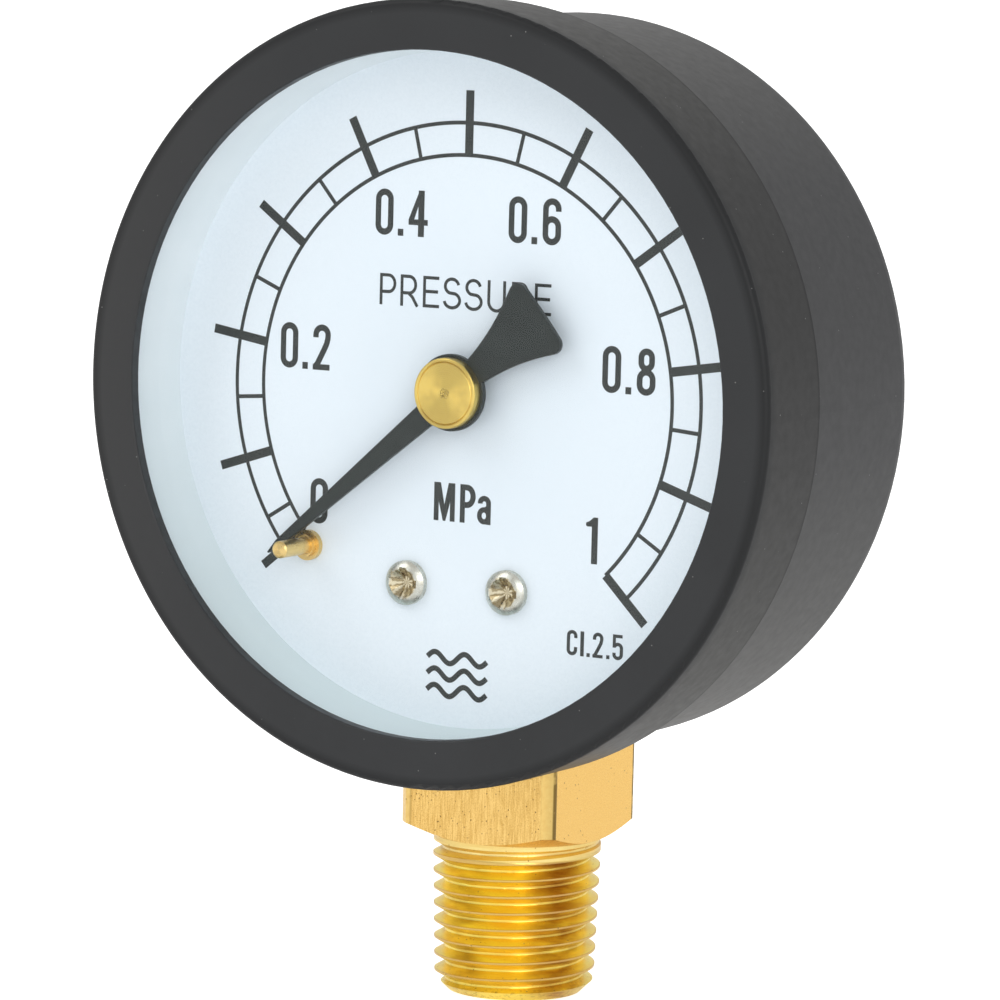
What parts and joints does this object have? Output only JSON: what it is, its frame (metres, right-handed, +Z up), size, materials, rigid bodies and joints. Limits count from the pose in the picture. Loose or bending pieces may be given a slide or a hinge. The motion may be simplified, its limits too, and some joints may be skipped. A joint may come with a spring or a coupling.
{
  "type": "pressure gauge",
  "caption": "Round dial pressure gauge with a bottom stem and taper thread; a curved tube inside straightens under pressure and turns the pointer through a toothed sector.",
  "frame": {"origin": "centre of the stem's end face, at the mouth of the pressure port", "axes": "+Z up the stem and the dial's upright, -Y the way the dial faces, +X to the right of a person reading it"},
  "size_m": [0.0608, 0.0266, 0.0791],
  "materials": {
    "black_paint": "satin",
    "clear_window": "gloss",
    "black_rubber": "matte",
    "white_plastic": "matte",
    "dial_white": "satin",
    "brass": "satin",
    "nickel_plate": "polished",
    "pointer_black": "satin",
    "steel": "satin",
    "phosphor_bronze": "satin"
  },
  "bodies": {
    "gauge": {"case_cup": "black_paint", "bezel_ring": "black_paint", "window": "clear_window", "window_gasket": "black_rubber", "spacer_ring": "white_plastic", "dial": "dial_white", "dial_screws": "nickel_plate", "dial_posts": "brass", "stop_pin": "brass", "socket": "brass", "restrictor_screw": "brass", "case_screws": "nickel_plate", "bourdon_tube": "phosphor_bronze", "rear_plate": "brass", "front_plate": "brass", "movement_pillars": "brass", "plate_screws": "steel", "movement_screws": "steel", "hairspring": "phosphor_bronze", "hairspring_stud": "brass"},
    "sector": {"sector_gear": "brass", "sector_arbor": "steel"},
    "pointer_shaft": {"pinion_arbor": "steel", "hairspring_collet": "brass", "pointer": "pointer_black", "pointer_hub": "brass"},
    "tube_tip": {"tip_piece": "brass"},
    "link": {"link_bar": "brass", "link_screw": "steel"}
  },
  "joints": [
    {"name": "tip_travel", "type": "slide", "parent": "gauge", "child": "tube_tip", "axis": [0.6432, 0, 0.7657], "range_m": [0, 0.00288], "stiffness_N_per_m": 400, "springref_m": -0.0001, "deforming": ["bourdon_tube"]},
    {"name": "link_tilt", "type": "hinge", "parent": "tube_tip", "child": "link", "pos_m": [0.01503, -0.0102, 0.04439], "axis": [0, 1, 0], "range_deg": [0, 3.6]},
    {"name": "sector_swing", "type": "hinge", "parent": "gauge", "child": "sector", "pos_m": [0.00764, -0.0102, 0.04106], "axis": [0, -1, 0], "range_deg": [0, 33.06]},
    {"name": "pointer_spin", "type": "hinge", "parent": "gauge", "child": "pointer_shaft", "pos_m": [0, -0.0102, 0.0487], "axis": [0, 1, 0], "range_deg": [0, 264.5], "deforming": ["hairspring"]}
  ],
  "couplings": [
    {"joint": "sector_swing", "follows": "tip_travel", "rad_per_m": 200.59},
    {"joint": "pointer_spin", "follows": "tip_travel", "rad_per_m": 1604.7},
    {"joint": "link_tilt", "follows": "tip_travel", "rad_per_m": 21.841}
  ]
}
